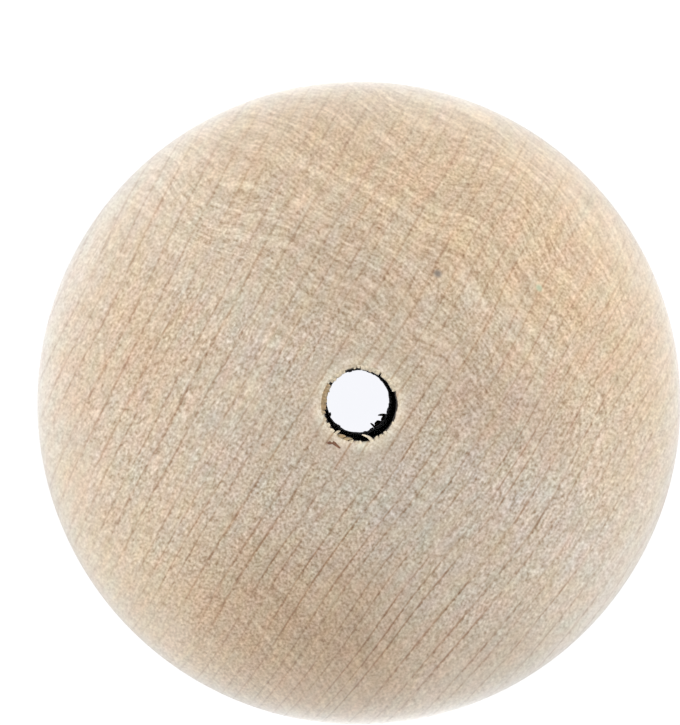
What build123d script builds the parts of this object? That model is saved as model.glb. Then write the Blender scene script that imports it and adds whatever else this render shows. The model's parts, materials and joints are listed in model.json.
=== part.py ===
"""A turned maple ball with a bore drilled right through it, in millimetres.

The origin is the ball's centre. +Z runs along the bore, which follows the grain of the wood.
The ball stands on the rounded rim of its lower mouth.
"""

import math
import os

from build123d import *

# Driving dimensions
ball_diameter = 40.0
bore_diameter = 4.2
mouth_round = 0.4

# Where the bore breaks through the ball, as an angle up from the equator
ball_radius = ball_diameter / 2
mouth_angle = math.degrees(math.acos(bore_diameter / ball_diameter))

# Ball: the section on one side of the bore, spun about the axis of the lathe
with BuildPart() as ball:
    with BuildSketch(Plane.XZ) as section:
        with BuildLine():
            turned_arc = CenterArc((0, 0), ball_radius, -mouth_angle, 2 * mouth_angle)
            Line(turned_arc @ 1, turned_arc @ 0)
        make_face()

        # Tumbling rounds both rims, where the bore wall meets the turned face
        fillet(section.vertices(), radius=mouth_round)
    revolve(axis=Axis.Z)

ball.part.label = "ball"

os.makedirs("parts", exist_ok=True)
export_step(ball.part, "parts/ball.step")
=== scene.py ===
import json
import math

import bmesh
import bpy
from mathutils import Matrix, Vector


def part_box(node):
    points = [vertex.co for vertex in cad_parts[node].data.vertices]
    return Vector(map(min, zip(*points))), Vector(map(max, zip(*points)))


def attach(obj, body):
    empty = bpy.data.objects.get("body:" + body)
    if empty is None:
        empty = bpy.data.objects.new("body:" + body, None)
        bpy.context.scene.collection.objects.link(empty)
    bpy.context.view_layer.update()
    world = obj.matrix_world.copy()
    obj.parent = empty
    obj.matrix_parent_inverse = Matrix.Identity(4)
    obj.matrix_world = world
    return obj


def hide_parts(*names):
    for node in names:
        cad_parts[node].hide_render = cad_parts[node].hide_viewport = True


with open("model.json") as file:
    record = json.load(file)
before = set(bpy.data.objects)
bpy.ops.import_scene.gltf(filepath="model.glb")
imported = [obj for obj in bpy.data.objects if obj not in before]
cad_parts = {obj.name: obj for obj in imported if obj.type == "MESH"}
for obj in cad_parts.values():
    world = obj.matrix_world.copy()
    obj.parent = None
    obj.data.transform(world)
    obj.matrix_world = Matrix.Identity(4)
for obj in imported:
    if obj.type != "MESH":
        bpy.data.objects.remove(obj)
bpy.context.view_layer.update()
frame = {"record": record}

# The camera stands about six ball diameters above the ball and looks down, almost along the bore. The ball
# lies a little right of the picture's middle and below it, so the camera is aimed past it, and not shifted.
mm = 0.001
picture_width, picture_height = 680, 725
ball_centre_px = (358.8, 402.8)
focal_length_px = 3958.0
camera_height = 247 * mm
bore_lean = (-0.0032, 0.0053)
sensor_width_mm = 36.0

camera_data = bpy.data.cameras.new("photo_camera")
camera_data.sensor_width = sensor_width_mm
camera_data.lens = sensor_width_mm * focal_length_px / picture_height
camera_data.clip_start = 10 * mm
camera = bpy.data.objects.new("photo_camera", camera_data)
bpy.context.scene.collection.objects.link(camera)
bpy.context.scene.camera = camera

camera.location = (bore_lean[0] * camera_height, bore_lean[1] * camera_height, camera_height)
metres_per_px = camera_height / focal_length_px
aim = Vector((
    (picture_width / 2 - ball_centre_px[0]) * metres_per_px,
    (ball_centre_px[1] - picture_height / 2) * metres_per_px,
    0,
))
sight = (aim - camera.location).normalized()
camera.rotation_euler = (math.asin(sight.y), math.atan2(-sight.x, -sight.z), 0)

# The ball: one piece of maple, turned to a true sphere with its grain along the bore, drilled right through
# and tumbled. The drill tore the end grain at both mouths, so short fibres stand out of their rims.
bore_dims = frame["record"]["mounts"][0]["dims"]
ball_low, ball_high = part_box("ball")
ball_radius = max(ball_high.x, ball_high.y)
bore_radius = bore_dims["r_mm"] * mm
bore_half_length = bore_dims["length_mm"] * mm / 2
mouth_round = ball_high.z - bore_half_length
steps_round = 256
fine_zone_radius = 5 * mm
fine_ring_height = 0.11 * mm
round_rings = 12
bore_rings = 20

bpy.ops.object.select_all(action="DESELECT")
bpy.ops.mesh.primitive_uv_sphere_add(segments=steps_round, ring_count=steps_round // 2, radius=ball_radius)
ball = bpy.context.object
ball.name = "maple_ball"


def from_axis(point):
    """The distance of a point from the axis of the bore."""
    return math.hypot(point.x, point.y)


def pick(things, wanted):
    """Selects, of a mesh's vertices, edges or faces in edit mode, only those that are wanted."""
    bpy.ops.mesh.select_all(action="DESELECT")
    for thing in things:
        if wanted(thing):
            thing.select_set(True)
    bmesh.update_edit_mesh(ball.data)


# Both caps are cut away, and drawn in again ring by ring: finely over the turned face, round the rim and
# into the bore. A bridge between the last two rings is the wall of the bore.
bpy.ops.object.mode_set(mode="EDIT")
bpy.ops.mesh.select_mode(type="VERT")
pick(bmesh.from_edit_mesh(ball.data).verts, lambda vert: from_axis(vert.co) < fine_zone_radius)
bpy.ops.mesh.delete(type="VERT")

rim_polar = math.asin((bore_radius + mouth_round) / (ball_radius - mouth_round))
bpy.ops.mesh.select_mode(type="EDGE")
for end in (1, -1):
    mesh = bmesh.from_edit_mesh(ball.data)
    pick(mesh.edges, lambda edge: edge.is_boundary and edge.verts[0].co.z * end > 0)
    ring = next(vert.co.copy() for vert in mesh.verts if vert.select)
    start_polar = math.asin(from_axis(ring) / ball_radius)
    face_rings = math.ceil((start_polar - rim_polar) * ball_radius / fine_ring_height)
    profile = []
    for step in range(1, face_rings + 1):
        polar = start_polar + (rim_polar - start_polar) * step / face_rings
        profile.append((ball_radius * math.sin(polar), ball_radius * math.cos(polar)))
    for step in range(1, round_rings + 1):
        turn = rim_polar - (rim_polar + math.pi / 2) * step / round_rings
        profile.append((
            bore_radius + mouth_round * (1 + math.sin(turn)),
            bore_half_length + mouth_round * math.cos(turn),
        ))
    radius, height = from_axis(ring), abs(ring.z)
    for next_radius, next_height in profile:
        bpy.ops.mesh.extrude_region_move(
            TRANSFORM_OT_translate={"value": (0, 0, end * (next_height - height))}
        )
        share = next_radius / radius
        bpy.ops.transform.resize(value=(share, share, 1), center_override=(0, 0, 0))
        radius, height = next_radius, next_height

pick(bmesh.from_edit_mesh(ball.data).edges, lambda edge: edge.is_boundary)
bpy.ops.mesh.bridge_edge_loops(number_cuts=bore_rings)
bpy.ops.mesh.select_all(action="SELECT")
bpy.ops.mesh.remove_doubles(threshold=mm / 1000)
bpy.ops.mesh.normals_make_consistent(inside=False)
bpy.ops.object.mode_set(mode="OBJECT")

# The rims are uneven where the drill broke through, but not as far out as the circle that the ball stands on.
torn_from = bore_radius + 0.6 * mouth_round
torn_blend = 0.3 * mouth_round
torn_depth = 0.16 * mm
rim_group = ball.vertex_groups.new(name="torn_rim")
for vert in ball.data.vertices:
    torn_share = min(1.0, (torn_from - from_axis(vert.co)) / torn_blend)
    if torn_share > 0:
        rim_group.add([vert.index], torn_share, "REPLACE")
tear = bpy.data.textures.new("tear", "CLOUDS")
tear.noise_scale = 0.5 * mm
tear.noise_depth = 2
uneven_rim = ball.modifiers.new("uneven_rim", "DISPLACE")
uneven_rim.texture = tear
uneven_rim.texture_coords = "LOCAL"
uneven_rim.vertex_group = "torn_rim"
uneven_rim.strength = torn_depth
bpy.ops.object.modifier_apply(modifier=uneven_rim.name)


def pick_rim(end, bearing, spread, root):
    """Selects the faces of one mouth at a bearing, over a spread in degrees.

    The root is how far outside the bore those faces lie, from and to, in metres.
    """

    def on_rim(face):
        middle = face.calc_center_median()
        off = (math.degrees(math.atan2(middle.y, middle.x)) - bearing + 180) % 360 - 180
        inside = root[0] < from_axis(middle) - bore_radius < root[1]
        return middle.z * end > bore_half_length and inside and abs(off) < spread / 2

    pick(bmesh.from_edit_mesh(ball.data).faces, on_rim)


def mark_torn(tone):
    """Marks the selected points as torn wood, and gives the middle of them.

    The mark is a half where the tone is 1, the palest, and more as the tone falls.
    """
    mesh = bmesh.from_edit_mesh(ball.data)
    torn = mesh.verts.layers.float["torn"]
    tip = [vert for vert in mesh.verts if vert.select]
    for vert in tip:
        vert[torn] = 1 - tone / 2
    return sum((vert.co for vert in tip), Vector()) / len(tip)


point_share = 0.55


def pull_fibre(end, bearing, spread, root, reach, sweep, lift, tone, taper, steps=4):
    """Draws one torn fibre out of the faces of a mouth, in steps that taper to a blunt point.

    The fibre reaches in over the bore, sweeps round it and lifts out of it, and curls as it goes. All these
    lengths are in metres.
    """
    angle = math.radians(bearing)
    inward = Vector((-math.cos(angle), -math.sin(angle), 0))
    sideways = Vector((-math.sin(angle), math.cos(angle), 0))
    pick_rim(end, bearing, spread, root)
    for step in range(steps):
        curl = (step + 0.5) / steps
        move = inward * reach + sideways * (2 * curl * sweep) + Vector((0, 0, end)) * (lift * (1 - curl) * 2)
        bpy.ops.mesh.extrude_region_move(TRANSFORM_OT_translate={"value": move / steps})
        middle = mark_torn(tone)
        share = taper * (point_share if step == steps - 1 else 1)
        bpy.ops.transform.resize(value=(share, share, share), center_override=middle)


# The drill pushed the upper rim in as four ragged ledges, the widest on the left. Each has its bearing and
# spread in degrees, its reach in millimetres and how pale it is. The darker tan of the left ledge, where the
# rim turns down into the bore, is partly painted shade.
rim_root = (0.04 * mouth_round, 0.45 * mouth_round)
ledges = (
    (167, 42, 0.17, 0.45),
    (128, 28, 0.12, 0.90),
    (73, 30, 0.13, 0.95),
    (38, 34, 0.11, 0.95),
)
ledge_steps = 3
ledge_sink = 0.01 * mm

# Each point that is drawn out of a rim carries a mark, which gives torn wood its own colour
ball.data.attributes.new("torn", "FLOAT", "POINT")
bpy.ops.object.mode_set(mode="EDIT")
bpy.ops.mesh.select_mode(type="FACE")
for bearing, spread, reach, tone in ledges:
    pick_rim(1, bearing, spread, rim_root)
    share = 1 - reach * mm / ledge_steps / bore_radius
    for step in range(ledge_steps):
        bpy.ops.mesh.extrude_region_move(TRANSFORM_OT_translate={"value": (0, 0, -ledge_sink)})
        mark_torn(tone)
        bpy.ops.transform.resize(value=(share, share, 1), center_override=(0, 0, 0))

# Fibres of the ledges, of the rest of the upper mouth and of the lower one, each with its bearing and spread
# in degrees, its reach, sweep and lift in millimetres, and how pale it is. The darker tones on the left of
# the upper mouth are partly painted shade, where the rim turns down into the bore.
ledge_width = 0.16 * mm
ledge_root = (rim_root[0] - ledge_width, rim_root[1] - ledge_width)
ledge_fibres = (
    (118, 7, 0.05, 0.04, 0.00, 0.95),
    (126, 9, 0.08, -0.03, 0.01, 0.85),
    (135, 6, 0.10, 0.03, 0.01, 0.80),
    (150, 8, 0.05, -0.04, 0.00, 0.66),
    (157, 5, 0.12, 0.02, 0.01, 0.50),
    (164, 8, 0.08, -0.03, 0.01, 0.58),
    (173, 9, 0.11, 0.03, 0.01, 0.50),
    (182, 7, 0.08, -0.03, 0.01, 0.45),
    (64, 7, 0.06, 0.03, 0.01, 0.95),
    (73, 5, 0.09, -0.03, 0.01, 0.85),
    (81, 7, 0.05, 0.02, 0.01, 1.00),
)
upper_fibres = (
    (192, 6, 0.14, 0.04, 0.02, 0.60),
    (203, 6, 0.08, 0.03, 0.03, 0.80),
    (213, 8, 0.12, -0.05, 0.03, 0.95),
    (223, 6, 0.10, 0.08, 0.03, 0.95),
    (230, 3, 0.30, 0.10, 0.03, 0.90),
    (238, 9, 0.20, 0.26, 0.02, 0.48),
    (247, 8, 0.20, 0.34, 0.03, 0.52),
    (256, 6, 0.12, 0.12, 0.03, 0.80),
    (266, 5, 0.08, 0.03, 0.03, 1.00),
    (271, 4, 0.10, -0.03, 0.03, 1.00),
    (296, 7, 0.14, 0.10, 0.03, 0.90),
    (304, 5, 0.08, 0.05, 0.03, 0.85),
    (312, 6, 0.10, -0.04, 0.03, 1.00),
    (331, 5, 0.05, 0.00, 0.03, 0.90),
    (92, 4, 0.08, -0.03, 0.04, 1.00),
    (98, 5, 0.10, 0.04, 0.03, 0.90),
)
lower_fibres = (
    (354, 5, 0.10, 0.05, -0.05, 0.7),
    (343, 13, 0.12, 0.03, -0.05, 0.7),
    (333, 6, 0.54, -0.22, -0.1, 0.6),
    (325, 15, 0.22, 0.06, -0.05, 0.6),
    (312, 17, 0.34, -0.04, -0.1, 0.6),
    (303, 5, 0.46, -0.10, -0.1, 0.6),
    (295, 11, 0.16, 0.10, -0.1, 0.6),
    (284, 7, 0.10, -0.06, -0.05, 0.7),
    (60, 8, 0.10, 0.05, -0.05, 0.8),
    (105, 9, 0.14, -0.06, -0.05, 0.8),
    (150, 8, 0.12, 0.08, -0.1, 0.9),
    (205, 9, 0.18, -0.08, -0.1, 0.8),
    (232, 8, 0.14, 0.06, -0.05, 0.9),
)
fibre_taper = 0.84
for end, root, fibres in (
    (1, ledge_root, ledge_fibres),
    (1, rim_root, upper_fibres),
    (-1, rim_root, lower_fibres),
):
    for bearing, spread, reach, sweep, lift, tone in fibres:
        pull_fibre(end, bearing, spread, root, reach * mm, sweep * mm, lift * mm, tone, fibre_taper)

# One long pale fibre curls in over the bore
pull_fibre(
    end=1,
    bearing=288,
    spread=6,
    root=rim_root,
    reach=0.52 * mm,
    sweep=-0.42 * mm,
    lift=0.05 * mm,
    tone=1.0,
    taper=0.88,
    steps=8,
)

# A red-brown sliver has lifted from the face just outside the upper mouth, and lies on it with a kink. Its
# dark red-brown is partly the painted shadow of the lifted sliver. Each half has its bearing in degrees, its
# root, reach and sweep in millimetres, its taper and its steps.
sliver_spread = 4
sliver_lift = 0.004 * mm
sliver_tone_and_shadow = 0.3
for bearing, root_from, root_to, reach, sweep, taper, steps in (
    (236, 0.48, 0.66, -0.05, 0.46, 0.90, 6),
    (233, 0.56, 0.66, -0.18, -0.16, 0.95, 4),
):
    root = (root_from * mm, root_to * mm)
    reach, sweep = reach * mm, sweep * mm
    pull_fibre(1, bearing, sliver_spread, root, reach, sweep, sliver_lift, sliver_tone_and_shadow, taper, steps)
bpy.ops.object.mode_set(mode="OBJECT")
bpy.ops.object.shade_smooth()


def linear(hex_colour):
    """An sRGB hex colour as linear red, green, blue and alpha."""
    shares = [int(hex_colour[at:at + 2], 16) / 255 for at in (1, 3, 5)]
    return [*(s / 12.92 if s <= 0.04045 else ((s + 0.055) / 1.055) ** 2.4 for s in shares), 1.0]


def node(tree, kind, inputs=(), **settings):
    """Adds a node to a tree, with its settings, and fills its inputs with values or other nodes' outputs."""
    added = tree.nodes.new(kind)
    for name, value in settings.items():
        setattr(added, name, value)
    for socket, value in dict(inputs).items():
        if isinstance(value, bpy.types.NodeSocket):
            tree.links.new(value, added.inputs[socket])
        else:
            added.inputs[socket].default_value = value
    return added


# Maple, turned and tumbled, with no finish: a pale, close-grained wood. The end grain shows thin brown growth
# lines about 1.2 mm apart, fine wavy rays across them and a speckle of pores. A faint nap whitens its edge.
# Maple's own pores are too fine to show in the picture, so they are drawn about twice as coarse.
pith_distance_mm = 400.0
pith_turn_degrees = 32.0
ring_width_mm = 1.2
ring_line_mm = 0.14
ring_shoulder_mm = 0.45
pore_mm = 0.165
ring_file_ratio = 0.45
ray_file_ratio = 0.3
ray_gap_mm = 0.28
maple = bpy.data.materials.new("turned_maple")
maple.use_nodes = True
tree = maple.node_tree
tree.nodes.clear()

# The wood's own frame, in millimetres from the pith of the tree, drawn out tenfold along the grain. In it the
# rings sway a little. Towards the near side they lean, one way at the left and the other at the right.
grain_stretch = 0.1
sway_length_mm = 13.0
sway_mm = Vector((1.4, 0.8, 0.0))
right_lean_mm = 1.3
left_lean_mm = -2.6
place = node(tree, "ShaderNodeTexCoord")
grain = node(tree, "ShaderNodeMapping", {
    "Vector": place.outputs["Object"],
    "Scale": (1 / mm, 1 / mm, grain_stretch / mm),
    "Rotation": (0, 0, math.radians(pith_turn_degrees)),
    "Location": (pith_distance_mm, 0, 0),
})
sway = node(tree, "ShaderNodeTexNoise", {
    "Vector": grain.outputs[0],
    "Scale": 1 / sway_length_mm,
    "Detail": 1.0,
})
sway_step = node(tree, "ShaderNodeVectorMath", {
    0: sway.outputs["Color"],
    1: sway_mm,
    2: -sway_mm / 2,
}, operation="MULTIPLY_ADD")
straight = node(tree, "ShaderNodeSeparateXYZ", {0: grain.outputs[0]})
near_share = node(tree, "ShaderNodeMapRange", {
    "Value": straight.outputs["Y"],
    "From Min": -1.0,
    "From Max": -18.0,
})
right_share = node(tree, "ShaderNodeMapRange", {
    "Value": straight.outputs["X"],
    "From Min": pith_distance_mm,
    "From Max": pith_distance_mm + 9,
    "To Max": right_lean_mm,
}, interpolation_type="SMOOTHSTEP")
left_lean = node(tree, "ShaderNodeMapRange", {
    "Value": straight.outputs["Y"],
    "From Min": 9.0,
    "From Max": -17.0,
    "To Max": left_lean_mm,
})
left_share = node(tree, "ShaderNodeMapRange", {
    "Value": straight.outputs["X"],
    "From Min": pith_distance_mm - 1,
    "From Max": pith_distance_mm - 11,
}, interpolation_type="SMOOTHSTEP")
left_bend = node(tree, "ShaderNodeMath", {
    0: left_lean.outputs[0],
    1: left_share.outputs[0],
}, operation="MULTIPLY")
bend = node(tree, "ShaderNodeMath", {
    0: near_share.outputs[0],
    1: right_share.outputs[0],
    2: left_bend.outputs[0],
}, operation="MULTIPLY_ADD")
bend_step = node(tree, "ShaderNodeCombineXYZ", {"X": bend.outputs[0]})
bent = node(tree, "ShaderNodeVectorMath", {0: grain.outputs[0], 1: bend_step.outputs[0]}, operation="ADD")
swayed = node(tree, "ShaderNodeVectorMath", {0: bent.outputs[0], 1: sway_step.outputs[0]}, operation="ADD")
across = node(tree, "ShaderNodeSeparateXYZ", {0: swayed.outputs[0]})
level_xy = node(tree, "ShaderNodeVectorMath", {0: swayed.outputs[0], 1: (1, 1, 0)}, operation="MULTIPLY")
from_pith = node(tree, "ShaderNodeVectorMath", {0: level_xy.outputs[0]}, operation="LENGTH")
round_angle = node(tree, "ShaderNodeMath", {
    0: across.outputs["Y"],
    1: across.outputs["X"],
}, operation="ARCTAN2")
round_mm = node(tree, "ShaderNodeMath", {
    0: round_angle.outputs[0],
    1: pith_distance_mm,
}, operation="MULTIPLY")

# The rays run level on the left and bend over on the right. They are wavy on the far side, and most marked
# there and at the near right.
ray_arch_mm = 19.0
arch_from_mm, arch_to_mm = -3.0, 20.0
ray_wave_mm = 5.5
ray_wave_height_mm = 3.2
ray_least = 0.35
ray_side = node(tree, "ShaderNodeMapRange", {
    "Value": across.outputs["Y"],
    "From Min": 0.0,
    "From Max": 5.0,
    "To Min": ray_least,
    "To Max": 1.0,
}, interpolation_type="SMOOTHSTEP")
ray_near = node(tree, "ShaderNodeMapRange", {
    "Value": across.outputs["Y"],
    "From Min": -4.0,
    "From Max": -10.0,
}, interpolation_type="SMOOTHSTEP")
ray_right = node(tree, "ShaderNodeMapRange", {
    "Value": across.outputs["X"],
    "From Min": pith_distance_mm - 4,
    "From Max": pith_distance_mm + 4,
}, interpolation_type="SMOOTHSTEP")
ray_corner = node(tree, "ShaderNodeMath", {
    0: ray_near.outputs[0],
    1: ray_right.outputs[0],
}, operation="MULTIPLY")
ray_most = node(tree, "ShaderNodeMath", {
    0: ray_side.outputs[0],
    1: ray_corner.outputs[0],
}, operation="MAXIMUM")
ray_edge = node(tree, "ShaderNodeMapRange", {
    "Value": across.outputs["X"],
    "From Min": pith_distance_mm + 6,
    "From Max": pith_distance_mm + 12,
    "To Min": 1.0,
    "To Max": 0.4,
})
ray_share = node(tree, "ShaderNodeMath", {
    0: ray_most.outputs[0],
    1: ray_edge.outputs[0],
}, operation="MULTIPLY")
ray_wave = node(tree, "ShaderNodeTexNoise", {
    "Vector": grain.outputs[0],
    "Scale": 1 / ray_wave_mm,
    "Detail": 0.5,
})
ray_sway = node(tree, "ShaderNodeMath", {
    0: ray_wave.outputs[0],
    1: ray_side.outputs[0],
}, operation="MULTIPLY")
ray_swayed = node(tree, "ShaderNodeMath", {
    0: ray_sway.outputs[0],
    1: ray_wave_height_mm,
    2: round_mm.outputs[0],
}, operation="MULTIPLY_ADD")
arch_off = node(tree, "ShaderNodeMapRange", {
    "Value": straight.outputs["X"],
    "From Min": pith_distance_mm + arch_from_mm,
    "From Max": pith_distance_mm + arch_to_mm,
    "To Max": arch_to_mm - arch_from_mm,
})
arch_square = node(tree, "ShaderNodeMath", {
    0: arch_off.outputs[0],
    1: arch_off.outputs[0],
}, operation="MULTIPLY")
ray_round = node(tree, "ShaderNodeMath", {
    0: arch_square.outputs[0],
    1: 1 / (2 * ray_arch_mm),
    2: ray_swayed.outputs[0],
}, operation="MULTIPLY_ADD")
ray_lines = node(tree, "ShaderNodeCombineXYZ", {
    "X": ray_round.outputs[0],
    "Y": from_pith.outputs["Value"],
    "Z": across.outputs["Z"],
})

# Pores and fibre ends, worn smoother by the drill round the mouths. They stand in files, along the rings at
# the left and right and partly along the rays where those are marked.
worn_from_mm, worn_to_mm = 2.3, 4.0
pore_patch_mm = 2.6
from_bore = node(tree, "ShaderNodeVectorMath", {
    0: place.outputs["Object"],
    1: (1 / mm, 1 / mm, 0),
}, operation="MULTIPLY")
bore_mm = node(tree, "ShaderNodeVectorMath", {0: from_bore.outputs[0]}, operation="LENGTH")
worn = node(tree, "ShaderNodeMapRange", {
    "Value": bore_mm.outputs["Value"],
    "From Min": worn_from_mm,
    "From Max": worn_to_mm,
    "To Min": 0.6,
    "To Max": 1.0,
})
pores = node(tree, "ShaderNodeTexNoise", {
    "Vector": grain.outputs[0],
    "Scale": 1 / pore_mm,
    "Detail": 1.0,
    "Roughness": 0.5,
})
far_side = node(tree, "ShaderNodeMapRange", {
    "Value": across.outputs["Y"],
    "From Min": -1.0,
    "From Max": 5.0,
}, interpolation_type="SMOOTHSTEP")
ring_file_stretch = node(tree, "ShaderNodeMapping", {
    "Vector": grain.outputs[0],
    "Scale": (1 / pore_mm, ring_file_ratio / pore_mm, 1 / pore_mm),
})
ring_files = node(tree, "ShaderNodeTexNoise", {
    "Vector": ring_file_stretch.outputs[0],
    "Scale": 1.0,
    "Detail": 1.0,
})
ray_file_stretch = node(tree, "ShaderNodeMapping", {
    "Vector": ray_lines.outputs[0],
    "Scale": (1 / pore_mm, ray_file_ratio / pore_mm, 1 / pore_mm),
})
ray_files = node(tree, "ShaderNodeTexNoise", {
    "Vector": ray_file_stretch.outputs[0],
    "Scale": 1.0,
    "Detail": 1.0,
})
ray_file_share = node(tree, "ShaderNodeMapRange", {
    "Value": ray_share.outputs[0],
    "From Min": ray_least,
    "From Max": 1.0,
    "To Max": 0.75,
})
files = node(tree, "ShaderNodeMix", {
    0: ray_file_share.outputs[0],
    2: ring_files.outputs[0],
    3: ray_files.outputs[0],
})
file_off = node(tree, "ShaderNodeMath", {
    0: across.outputs["X"],
    1: pith_distance_mm + 1,
}, operation="SUBTRACT")
file_away = node(tree, "ShaderNodeMath", {0: file_off.outputs[0]}, operation="ABSOLUTE")
side_files = node(tree, "ShaderNodeMapRange", {
    "Value": file_away.outputs[0],
    "From Min": 2.0,
    "From Max": 8.0,
    "To Min": 0.24,
    "To Max": 0.48,
})
far_files = node(tree, "ShaderNodeMath", {0: far_side.outputs[0], 1: 0.46}, operation="MULTIPLY")
file_share = node(tree, "ShaderNodeMath", {
    0: side_files.outputs[0],
    1: far_files.outputs[0],
}, operation="MAXIMUM")
speckle = node(tree, "ShaderNodeMix", {0: file_share.outputs[0], 2: pores.outputs[0], 3: files.outputs[0]})
patches = node(tree, "ShaderNodeTexNoise", {
    "Vector": grain.outputs[0],
    "Scale": 1 / pore_patch_mm,
    "Detail": 2.0,
})
patch_depth = node(tree, "ShaderNodeMapRange", {
    "Value": patches.outputs[0],
    "From Min": 0.35,
    "From Max": 0.65,
    "To Min": 0.9,
    "To Max": 1.1,
})
speckle_even = node(tree, "ShaderNodeMapRange", {
    "Value": speckle.outputs[0],
    "From Min": 0.35,
    "From Max": 0.65,
    "To Min": -0.36,
    "To Max": 0.36,
}, clamp=False)
side_grain = node(tree, "ShaderNodeMapRange", {
    "Value": bore_mm.outputs["Value"],
    "From Min": 13.0,
    "From Max": 20.0,
}, interpolation_type="SMOOTHSTEP")
side_fade = node(tree, "ShaderNodeMapRange", {"Value": side_grain.outputs[0], "To Min": 1.0, "To Max": 0.6})
far_depth = node(tree, "ShaderNodeMapRange", {"Value": far_side.outputs[0], "To Min": 0.97, "To Max": 1.03})
patch_fade = node(tree, "ShaderNodeMath", {
    0: patch_depth.outputs[0],
    1: side_fade.outputs[0],
}, operation="MULTIPLY")
speckle_depth = node(tree, "ShaderNodeMath", {
    0: patch_fade.outputs[0],
    1: far_depth.outputs[0],
}, operation="MULTIPLY")
speckle_tone = node(tree, "ShaderNodeMath", {
    0: speckle_even.outputs[0],
    1: speckle_depth.outputs[0],
}, operation="MULTIPLY")

# Growth rings of uneven width, closer on the right, with a brown line in each that fades in and out
uneven_per_mm = 0.23
dashes_per_mm = 0.3
uneven = node(tree, "ShaderNodeTexNoise", {
    "W": from_pith.outputs["Value"],
    "Scale": uneven_per_mm,
    "Detail": 0.0,
}, noise_dimensions="1D")
late_rings = node(tree, "ShaderNodeMapRange", {
    "Value": from_pith.outputs["Value"],
    "From Min": pith_distance_mm,
    "From Max": pith_distance_mm + 20,
    "To Max": 4.0,
})
ring_count = node(tree, "ShaderNodeMath", {
    0: from_pith.outputs["Value"],
    1: 1 / ring_width_mm,
    2: late_rings.outputs[0],
}, operation="MULTIPLY_ADD")
ring = node(tree, "ShaderNodeMath", {
    0: uneven.outputs[0],
    1: 0.6,
    2: ring_count.outputs[0],
}, operation="MULTIPLY_ADD")
ring_share = node(tree, "ShaderNodeMath", {0: ring.outputs[0]}, operation="FRACT")
ring_number = node(tree, "ShaderNodeMath", {0: ring.outputs[0]}, operation="FLOOR")
ring_own = node(tree, "ShaderNodeTexWhiteNoise", {"W": ring_number.outputs[0]}, noise_dimensions="1D")
ring_chances = node(tree, "ShaderNodeSeparateColor", {0: ring_own.outputs["Color"]})
line_place = node(tree, "ShaderNodeMapRange", {
    "Value": ring_chances.outputs["Green"],
    "To Min": 0.3,
    "To Max": 0.8,
})
ragged_share = node(tree, "ShaderNodeMath", {
    0: speckle.outputs[0],
    1: 0.1,
    2: ring_share.outputs[0],
}, operation="MULTIPLY_ADD")
line_share = node(tree, "ShaderNodeMath", {
    0: ragged_share.outputs[0],
    1: line_place.outputs[0],
}, operation="SUBTRACT")
line_off = node(tree, "ShaderNodeMath", {0: line_share.outputs[0]}, operation="ABSOLUTE")
line = node(tree, "ShaderNodeMapRange", {
    "Value": line_off.outputs[0],
    "From Min": 0.0,
    "From Max": ring_line_mm / ring_width_mm,
    "To Min": 1.0,
    "To Max": 0.0,
}, interpolation_type="SMOOTHSTEP")
shoulder = node(tree, "ShaderNodeMapRange", {
    "Value": line_off.outputs[0],
    "From Min": 0.0,
    "From Max": ring_shoulder_mm / ring_width_mm,
    "To Min": 0.06,
    "To Max": 0.0,
}, interpolation_type="SMOOTHSTEP")
line_shape = node(tree, "ShaderNodeMath", {0: line.outputs[0], 1: shoulder.outputs[0]}, operation="MAXIMUM")
along = node(tree, "ShaderNodeCombineXYZ", {
    "X": ring_number.outputs[0],
    "Y": round_mm.outputs[0],
    "Z": across.outputs["Z"],
})
dashes = node(tree, "ShaderNodeTexNoise", {
    "Vector": along.outputs[0],
    "Scale": dashes_per_mm,
    "Detail": 3.0,
})
dash = node(tree, "ShaderNodeMapRange", {
    "Value": dashes.outputs[0],
    "From Min": 0.3,
    "From Max": 0.55,
    "To Min": 0.3,
})
own_share = node(tree, "ShaderNodeMath", {
    0: ring_chances.outputs["Red"],
    1: 0.25,
    2: 0.7,
}, operation="MULTIPLY_ADD")
line_fade = node(tree, "ShaderNodeMapRange", {
    "Value": across.outputs["Y"],
    "From Min": -9.0,
    "From Max": 14.0,
    "To Min": 1.0,
    "To Max": 0.44,
})
pore_break = node(tree, "ShaderNodeMapRange", {
    "Value": files.outputs[0],
    "From Min": 0.35,
    "From Max": 0.65,
    "To Min": 1.2,
    "To Max": 0.7,
})
line_broken = node(tree, "ShaderNodeMath", {
    0: dash.outputs[0],
    1: pore_break.outputs[0],
}, operation="MULTIPLY")
line_dash = node(tree, "ShaderNodeMath", {
    0: line_shape.outputs[0],
    1: line_broken.outputs[0],
}, operation="MULTIPLY")
line_aside = node(tree, "ShaderNodeMath", {
    0: across.outputs["X"],
    1: pith_distance_mm + 6,
}, operation="SUBTRACT")
line_away = node(tree, "ShaderNodeMath", {0: line_aside.outputs[0]}, operation="ABSOLUTE")
line_side = node(tree, "ShaderNodeMapRange", {
    "Value": line_away.outputs[0],
    "From Min": 5.0,
    "From Max": 13.0,
    "To Min": 1.15,
    "To Max": 0.76,
})
line_near = node(tree, "ShaderNodeMapRange", {
    "Value": across.outputs["Y"],
    "From Min": -16.0,
    "From Max": -9.0,
    "To Min": 0.7,
    "To Max": 1.1,
})
line_ends = node(tree, "ShaderNodeMath", {
    0: line_near.outputs[0],
    1: line_fade.outputs[0],
}, operation="MULTIPLY")
line_tilt = node(tree, "ShaderNodeMapRange", {
    "Value": across.outputs["Y"],
    "From Min": -8.0,
    "From Max": 6.0,
    "To Min": 1.0,
    "To Max": 1.45,
})
line_left = node(tree, "ShaderNodeMix", {0: left_share.outputs[0], 2: 1.0, 3: line_tilt.outputs[0]})
line_even = node(tree, "ShaderNodeMath", {
    0: line_side.outputs[0],
    1: line_left.outputs[0],
}, operation="MULTIPLY")
line_here = node(tree, "ShaderNodeMath", {
    0: line_even.outputs[0],
    1: line_ends.outputs[0],
}, operation="MULTIPLY")
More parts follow.
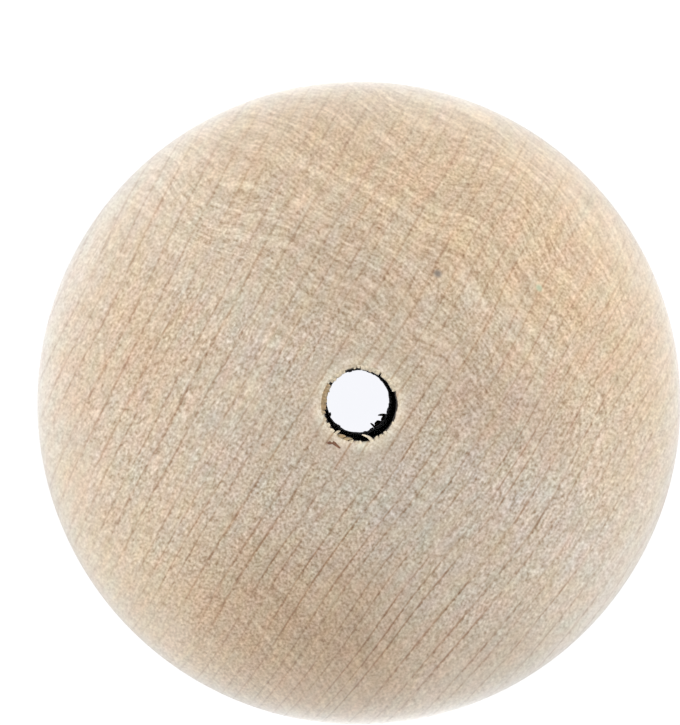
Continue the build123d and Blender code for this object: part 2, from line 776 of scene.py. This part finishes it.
line_depth = node(tree, "ShaderNodeMath", {
    0: own_share.outputs[0],
    1: line_here.outputs[0],
}, operation="MULTIPLY")
line_tone = node(tree, "ShaderNodeMath", {
    0: line_dash.outputs[0],
    1: line_depth.outputs[0],
}, operation="MULTIPLY")

# Rays: fine pale lines that run out from the pith
ray_length_mm = 4.0
ray_stretch = node(tree, "ShaderNodeMapping", {
    "Vector": ray_lines.outputs[0],
    "Scale": (1 / ray_gap_mm, 1 / ray_length_mm, 1.0),
})
rays = node(tree, "ShaderNodeTexNoise", {"Vector": ray_stretch.outputs[0], "Scale": 1.0, "Detail": 0.5})
ray_height = node(tree, "ShaderNodeMapRange", {
    "Value": rays.outputs[0],
    "From Min": 0.45,
    "From Max": 0.7,
    "To Min": -0.05,
    "To Max": 0.2,
})
ray_tone = node(tree, "ShaderNodeMath", {
    0: ray_height.outputs[0],
    1: ray_share.outputs[0],
}, operation="MULTIPLY")

# Slow tints in bands along the rays, partly the wood's own tone and partly painted reflection: the greyer
# band near the middle stands in for a soft box mirrored in the ball
band_sway_mm = 5.0
band_sway_height_mm = 3.0
band_sway = node(tree, "ShaderNodeTexNoise", {
    "Vector": grain.outputs[0],
    "Scale": 1 / band_sway_mm,
    "Detail": 2.0,
})
band_place = node(tree, "ShaderNodeMath", {
    0: band_sway.outputs[0],
    1: band_sway_height_mm,
    2: across.outputs["Y"],
}, operation="MULTIPLY_ADD")
band_share = node(tree, "ShaderNodeMapRange", {
    "Value": band_place.outputs[0],
    "From Min": -18.5,
    "From Max": 21.5,
})
# The greyer stops near the middle of this ramp are painted reflection
bands_and_reflection = node(tree, "ShaderNodeValToRGB", {0: band_share.outputs[0]})
stops = bands_and_reflection.color_ramp.elements
stops[0].position, stops[0].color = 0.10, linear("#C8B398")
stops[1].position, stops[1].color = 0.78, linear("#C6AE91")
for position, colour in ((0.30, "#C9B8A4"), (0.50, "#C9B9A5"), (0.66, "#C7B39B")):
    stops.new(position).color = linear(colour)

# Patches drawn out along the rays, each with its place, its half length and half width in millimetres, how
# far it covers and its colour: brown on the near side, beyond the bore and at both ends, cooler and paler by
# the bore and to its right. The brown on the near side and at the near right is partly painted shade of the
# side that gets less light, and the cooler, paler patches by the bore are partly painted reflection.
tints_and_painted_light = bands_and_reflection.outputs["Color"]
for patch_place, patch_half, patch_share, patch_colour in (
    ((5.5, -14.2), (13.0, 8.8), 0.85, "#B99E81"),
    ((6.3, 4.2), (8.0, 3.6), 0.85, "#C1AC97"),
    ((-5.0, 5.8), (8.0, 4.2), 0.65, "#C0AC95"),
    ((-15.5, -4.0), (8.0, 10.0), 0.75, "#C3AC92"),
    ((5.0, 8.5), (8.0, 1.1), 0.3, "#D0C0AB"),
    ((12.0, 0.0), (9.0, 3.4), 0.6, "#C9BBAD"),
    ((4.5, -3.2), (5.5, 3.2), 0.6, "#C8BDAF"),
    ((17.0, -9.0), (6.0, 5.5), 0.75, "#BDA990"),
):
    patch_stretch = node(tree, "ShaderNodeVectorMath", {
        0: level_xy.outputs[0],
        1: (1 / patch_half[0], 1 / patch_half[1], 0),
        2: (-(pith_distance_mm + patch_place[0]) / patch_half[0], -patch_place[1] / patch_half[1], 0),
    }, operation="MULTIPLY_ADD")
    patch_off = node(tree, "ShaderNodeVectorMath", {0: patch_stretch.outputs[0]}, operation="LENGTH")
    patch = node(tree, "ShaderNodeMapRange", {
        "Value": patch_off.outputs["Value"],
        "From Min": 0.2,
        "From Max": 1.0,
        "To Min": patch_share,
        "To Max": 0.0,
    }, interpolation_type="SMOOTHSTEP")
    tints_and_painted_light = node(tree, "ShaderNodeMix", {
        0: patch.outputs[0],
        6: tints_and_painted_light,
        7: linear(patch_colour),
    }, data_type="RGBA").outputs[2]

# Small warm and cool tints, drawn out along the rings
tint_width_mm, tint_length_mm = 0.8, 2.0
tint_stretch = node(tree, "ShaderNodeMapping", {
    "Vector": swayed.outputs[0],
    "Scale": (1 / tint_width_mm, 1 / tint_length_mm, 1.0),
})
tints = node(tree, "ShaderNodeTexNoise", {"Vector": tint_stretch.outputs[0], "Scale": 1.0, "Detail": 2.0})
tint_chances = node(tree, "ShaderNodeSeparateColor", {0: tints.outputs["Color"]})
cool = Vector((-0.18, 0.045, 0.26))
pink = Vector((0.1, -0.07, 0.09))
cooled = node(tree, "ShaderNodeVectorMath", {
    0: tint_chances.outputs["Red"],
    1: cool,
    2: Vector((1, 1, 1)) - (cool + pink) / 2,
}, operation="MULTIPLY_ADD")
tint = node(tree, "ShaderNodeVectorMath", {
    0: tint_chances.outputs["Green"],
    1: pink,
    2: cooled.outputs[0],
}, operation="MULTIPLY_ADD")

# Side grain shows the rays as small flecks. Towards the edge of the ball the colour turns paler and whiter at
# the left and right, partly the side grain's own paler tone and partly a painted glow and reflection, and
# duller on the near side, which is painted shade.
fleck_width_mm, fleck_depth_mm, fleck_height_mm = 0.35, 2.5, 0.8
fleck_stretch = node(tree, "ShaderNodeMapping", {
    "Vector": ray_lines.outputs[0],
    "Scale": (1 / fleck_width_mm, 1 / fleck_depth_mm, 1 / grain_stretch / fleck_height_mm),
})
ray_flecks = node(tree, "ShaderNodeTexNoise", {
    "Vector": fleck_stretch.outputs[0],
    "Scale": 1.0,
    "Detail": 1.0,
})
fleck_height = node(tree, "ShaderNodeMapRange", {
    "Value": ray_flecks.outputs[0],
    "From Min": 0.5,
    "From Max": 0.75,
    "To Min": 0.02,
    "To Max": -0.14,
})
fleck_tone = node(tree, "ShaderNodeMath", {
    0: fleck_height.outputs[0],
    1: side_grain.outputs[0],
}, operation="MULTIPLY")
limb_light_share = node(tree, "ShaderNodeMapRange", {
    "Value": bore_mm.outputs["Value"],
    "From Min": 16.5,
    "From Max": 20.0,
}, interpolation_type="SMOOTHSTEP")
object_place = node(tree, "ShaderNodeSeparateXYZ", {0: place.outputs["Object"]})
off_middle = node(tree, "ShaderNodeMath", {0: object_place.outputs["X"]}, operation="ABSOLUTE")
off_near = node(tree, "ShaderNodeMath", {
    0: object_place.outputs["Y"],
    1: 0.4,
    2: off_middle.outputs[0],
}, operation="MULTIPLY_ADD")
edge_light_share = node(tree, "ShaderNodeMapRange", {
    "Value": off_near.outputs[0],
    "From Min": -8 * mm,
    "From Max": 18 * mm,
})
# Painted light and shade at the edge of the ball: whiter at the left and right, duller on the near side
edge_light_and_shade = node(tree, "ShaderNodeMix", {
    0: edge_light_share.outputs[0],
    6: (0.92, 0.955, 0.94, 1),
    7: (1.025, 1.075, 1.1, 1),
}, data_type="RGBA")
side_grain_and_limb_light = node(tree, "ShaderNodeMix", {
    0: limb_light_share.outputs[0],
    6: (1, 1, 1, 1),
    7: edge_light_and_shade.outputs[2],
}, data_type="RGBA")
limb_lit = node(tree, "ShaderNodeVectorMath", {0: tints_and_painted_light, 1: side_grain_and_limb_light.outputs[2]}, operation="MULTIPLY")
dappled = node(tree, "ShaderNodeVectorMath", {0: limb_lit.outputs[0], 1: tint.outputs[0]}, operation="MULTIPLY")

end_fine = node(tree, "ShaderNodeMath", {0: speckle_tone.outputs[0], 1: ray_tone.outputs[0]}, operation="ADD")
all_fine = node(tree, "ShaderNodeMath", {0: end_fine.outputs[0], 1: fleck_tone.outputs[0]}, operation="ADD")
fine_tone = node(tree, "ShaderNodeMath", {0: all_fine.outputs[0], 1: worn.outputs[0]}, operation="MULTIPLY")
fleck = node(tree, "ShaderNodeVectorMath", {
    0: fine_tone.outputs[0],
    1: (0.8, 0.97, 1.16),
    2: (1, 1, 1),
}, operation="MULTIPLY_ADD")
toned = node(tree, "ShaderNodeVectorMath", {0: dappled.outputs[0], 1: fleck.outputs[0]}, operation="MULTIPLY")
line_stain = node(tree, "ShaderNodeMix", {
    0: line_tone.outputs[0],
    6: (1, 1, 1, 1),
    7: (0.64, 0.5, 0.39, 1),
}, data_type="RGBA")
lined = node(tree, "ShaderNodeMix", {
    0: 1.0,
    6: toned.outputs[0],
    7: line_stain.outputs[2],
}, data_type="RGBA", blend_type="MULTIPLY")

# Two specks of dirt are pressed into the upper half
speck = lined
for speck_place, speck_mm, speck_colour in (
    ((4.5, 7.55, 17.9), 0.34, "#6E6862"),
    ((10.5, 6.8, 15.6), 0.3, "#A8B498"),
):
    speck_off = node(tree, "ShaderNodeVectorMath", {
        0: place.outputs["Object"],
        1: [length * mm for length in speck_place],
    }, operation="DISTANCE")
    speck_share = node(tree, "ShaderNodeMapRange", {
        "Value": speck_off.outputs["Value"],
        "From Min": 0.4 * speck_mm * mm,
        "From Max": speck_mm * mm,
        "To Min": 0.8,
        "To Max": 0.0,
    })
    speck = node(tree, "ShaderNodeMix", {
        0: speck_share.outputs[0],
        6: speck.outputs[2],
        7: linear(speck_colour),
    }, data_type="RGBA")

# Round each mouth the rim is paler, partly bruised wood and partly a painted highlight on its rounded lip,
# and the wall of the bore and the deep rim are painted dark, painted shade of the unlit bore
mouth_edge_mm = 2.35
bruise_and_highlight_edge_mm = 2.9
bruise_and_highlight_patch_mm = 0.7
bore_shade_edge = bore_half_length + 0.16 * mm
bore_shade_blend = 0.06 * mm
lip = node(tree, "ShaderNodeMapRange", {
    "Value": bore_mm.outputs["Value"],
    "From Min": mouth_edge_mm,
    "From Max": bruise_and_highlight_edge_mm,
    "To Min": 1.0,
    "To Max": 0.0,
}, interpolation_type="SMOOTHSTEP")
bruise_and_highlight_noise = node(tree, "ShaderNodeTexNoise", {
    "Vector": grain.outputs[0],
    "Scale": 1 / bruise_and_highlight_patch_mm,
    "Detail": 2.0,
})
bruise_and_highlight_depth = node(tree, "ShaderNodeMapRange", {
    "Value": bruise_and_highlight_noise.outputs[0],
    "From Min": 0.35,
    "From Max": 0.65,
    "To Min": 0.5,
    "To Max": 1.3,
})
bruise_and_highlight_share = node(tree, "ShaderNodeMath", {0: lip.outputs[0], 1: bruise_and_highlight_depth.outputs[0]}, operation="MULTIPLY")
# Painted highlight on the rounded lip, together with the paler bruised wood
bruise_and_highlight_lift = node(tree, "ShaderNodeVectorMath", {
    0: bruise_and_highlight_share.outputs[0],
    1: (0.28, 0.34, 0.36),
    2: (1, 1, 1),
}, operation="MULTIPLY_ADD")
bruised_and_highlit = node(tree, "ShaderNodeMix", {
    0: 1.0,
    6: speck.outputs[2],
    7: bruise_and_highlight_lift.outputs[0],
}, data_type="RGBA", blend_type="MULTIPLY")
# Painted shade: deep in each mouth the rim darkens to near black to meet the wall
from_middle = node(tree, "ShaderNodeMath", {0: object_place.outputs["Z"]}, operation="ABSOLUTE")
deep = node(tree, "ShaderNodeMapRange", {
    "Value": from_middle.outputs[0],
    "From Min": bore_shade_edge,
    "From Max": bore_shade_edge + bore_shade_blend,
    "To Min": 1.0,
    "To Max": 0.0,
})
inside = node(tree, "ShaderNodeMath", {0: bore_mm.outputs["Value"], 1: mouth_edge_mm}, operation="LESS_THAN")
bore_shade_share = node(tree, "ShaderNodeMath", {0: deep.outputs[0], 1: inside.outputs[0]}, operation="MULTIPLY")
bore_shaded = node(tree, "ShaderNodeMix", {
    0: bore_shade_share.outputs[0],
    6: bruised_and_highlit.outputs[2],
    7: linear("#2A2019"),
}, data_type="RGBA")

# Torn wood is paler than the turned face, or tan, and the sliver is brown. The tan on the left of the upper
# mouth is partly painted shade, and the sliver's brown is partly the painted shadow it casts.
torn_mark = node(tree, "ShaderNodeAttribute", attribute_name="torn")
fibre_share = node(tree, "ShaderNodeMapRange", {
    "Value": torn_mark.outputs["Fac"],
    "From Min": 0.05,
    "From Max": 0.45,
})
fibre_colour = node(tree, "ShaderNodeValToRGB", {0: torn_mark.outputs["Fac"]})
fibre_stops = fibre_colour.color_ramp.elements
fibre_stops[0].position, fibre_stops[0].color = 0.5, linear("#EADCC2")
fibre_stops[1].position, fibre_stops[1].color = 0.85, linear("#7A5138")
fibre_stops.new(0.75).color = linear("#AE9670")
fibre_speckle = node(tree, "ShaderNodeMapRange", {
    "Value": speckle.outputs[0],
    "From Min": 0.35,
    "From Max": 0.65,
    "To Min": 0.65,
    "To Max": 1.25,
})
fibre_tone = node(tree, "ShaderNodeVectorMath", {
    0: fibre_colour.outputs["Color"],
    1: fibre_speckle.outputs[0],
}, operation="MULTIPLY")
whole = node(tree, "ShaderNodeMix", {
    0: fibre_share.outputs[0],
    6: bore_shaded.outputs[2],
    7: fibre_tone.outputs[0],
}, data_type="RGBA")

# Pores and growth lines lie a little below the face
relief_depth = 0.02 * mm
height = node(tree, "ShaderNodeMath", {0: speckle.outputs[0], 1: line_tone.outputs[0]}, operation="SUBTRACT")
relief = node(tree, "ShaderNodeBump", {
    "Height": height.outputs[0],
    "Distance": relief_depth,
    "Strength": 0.6,
})
turned_rough = node(tree, "ShaderNodeMapRange", {"Value": speckle.outputs[0], "To Min": 0.46, "To Max": 0.3})
rough = node(tree, "ShaderNodeMath", {0: turned_rough.outputs[0], 1: bore_shade_share.outputs[0]}, operation="MAXIMUM")
surface = node(tree, "ShaderNodeBsdfPrincipled", {
    "Base Color": whole.outputs[2],
    "Roughness": rough.outputs[0],
    "IOR": 1.5,
    "Normal": relief.outputs[0],
    "Sheen Weight": 0.95,
    "Sheen Roughness": 0.3,
})
node(tree, "ShaderNodeOutputMaterial", {"Surface": surface.outputs["BSDF"]})
ball.data.materials.append(maple)

# Painted bore shade, the wall of the bore: painted dark and dull as painted shade of the deep, unlit bore,
# with streaks along the grain. The wood of the rims darkens to meet it, which is painted shade too.
streak_mm = 0.4
streak_stretch_share = 0.08
wall_edge = bore_radius + 0.15 * mm
bore_shade_material = bpy.data.materials.new("painted_bore_shade")
bore_shade_material.use_nodes = True
tree = bore_shade_material.node_tree
tree.nodes.clear()
place = node(tree, "ShaderNodeTexCoord")
streak_stretch = node(tree, "ShaderNodeMapping", {
    "Vector": place.outputs["Object"],
    "Scale": (1 / mm, 1 / mm, streak_stretch_share / mm),
})
streaks = node(tree, "ShaderNodeTexNoise", {
    "Vector": streak_stretch.outputs[0],
    "Scale": 1 / streak_mm,
    "Detail": 2.0,
})
bore_shade_colour = node(tree, "ShaderNodeMix", {
    0: streaks.outputs[0],
    6: linear("#0E0A08"),
    7: linear("#241A13"),
}, data_type="RGBA")
surface = node(tree, "ShaderNodeBsdfPrincipled", {
    "Base Color": bore_shade_colour.outputs[2],
    "Roughness": 1.0,
    "Specular IOR Level": 0.1,
})
node(tree, "ShaderNodeOutputMaterial", {"Surface": surface.outputs["BSDF"]})
ball.data.materials.append(bore_shade_material)
for face in ball.data.polygons:
    if from_axis(face.center) < wall_edge and abs(face.center.z) < bore_half_length:
        face.material_index = 1

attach(ball, "root")
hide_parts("ball")

# The floor: a plain pale table, lit so brightly that the camera sees it white. It still takes the ball's
# shadow. Where the bore opens onto it, a faint blue white spot is painted light, standing in for a table lit
# from below that shines up through the bore.
floor_size = 3.0


def sight_ray(tree):
    """Adds the nodes that tell a ray of sight, straight, mirrored or through glass, from a ray of light."""
    ray = node(tree, "ShaderNodeLightPath")
    shiny_ray = node(tree, "ShaderNodeMath", {
        0: ray.outputs["Is Glossy Ray"],
        1: ray.outputs["Is Transmission Ray"],
    }, operation="MAXIMUM")
    return node(tree, "ShaderNodeMath", {
        0: ray.outputs["Is Camera Ray"],
        1: shiny_ray.outputs[0],
    }, operation="MAXIMUM")


bpy.ops.object.select_all(action="DESELECT")
bpy.ops.mesh.primitive_plane_add(size=floor_size, location=(0, 0, ball_low.z))
floor = bpy.context.object
floor.name = "pale_table"
table = bpy.data.materials.new("pale_table")
table.use_nodes = True
tree = table.node_tree
tree.nodes.clear()
seen_ray = sight_ray(tree)
place = node(tree, "ShaderNodeTexCoord")
from_bore = node(tree, "ShaderNodeVectorMath", {0: place.outputs["Object"]}, operation="LENGTH")
# Painted light: a brighter blue white spot on the table under the bore
bore_light_spot = node(tree, "ShaderNodeMath", {
    0: from_bore.outputs["Value"],
    1: bore_radius + mouth_round,
}, operation="LESS_THAN")
glow_colour = node(tree, "ShaderNodeMix", {
    0: bore_light_spot.outputs[0],
    6: linear("#E0E0E0"),
    7: linear("#F6F7FC"),
}, data_type="RGBA")
glow = node(tree, "ShaderNodeEmission", {"Color": glow_colour.outputs[2]})
lit = node(tree, "ShaderNodeBsdfDiffuse", {"Color": linear("#A4A4A4")})
seen = node(tree, "ShaderNodeAddShader", {0: glow.outputs[0], 1: lit.outputs[0]})
plain = node(tree, "ShaderNodeBsdfDiffuse", {"Color": linear("#E6E6E6")})
both = node(tree, "ShaderNodeMixShader", {0: seen_ray.outputs[0], 1: plain.outputs[0], 2: seen.outputs[0]})
node(tree, "ShaderNodeOutputMaterial", {"Surface": both.outputs[0]})
floor.data.materials.append(table)

# The light: an even white room, and three low soft boxes at the left, the right and the far side of the
# table. The near side has none, so that side of the ball is a little darker.
room_level = 0.665
world = bpy.data.worlds.new("white_room")
bpy.context.scene.world = world
world.use_nodes = True
tree = world.node_tree
tree.nodes.clear()
seen_ray = sight_ray(tree)
level = node(tree, "ShaderNodeMapRange", {"Value": seen_ray.outputs[0], "To Min": room_level, "To Max": 1.0})
room = node(tree, "ShaderNodeBackground", {"Color": (1, 1, 1, 1), "Strength": level.outputs[0]})
node(tree, "ShaderNodeOutputWorld", {"Surface": room.outputs[0]})

soft_box_distance = 0.6
soft_box_height = 0.14
soft_box_size = 0.35
for name, bearing, power in (("left", 188, 2.2), ("right", 0, 2.1), ("far", 90, 1.4)):
    lamp_data = bpy.data.lights.new("soft_box_" + name, "AREA")
    lamp_data.shape = "SQUARE"
    lamp_data.size = soft_box_size
    lamp_data.energy = power
    lamp = bpy.data.objects.new("soft_box_" + name, lamp_data)
    bpy.context.scene.collection.objects.link(lamp)
    angle = math.radians(bearing)
    lamp.location = (
        soft_box_distance * math.cos(angle),
        soft_box_distance * math.sin(angle),
        soft_box_height,
    )
    lamp.rotation_euler = (-lamp.location).to_track_quat("-Z", "Y").to_euler()
    lamp.visible_camera = False
    lamp.visible_glossy = False

bpy.context.scene.view_settings.view_transform = "Standard"
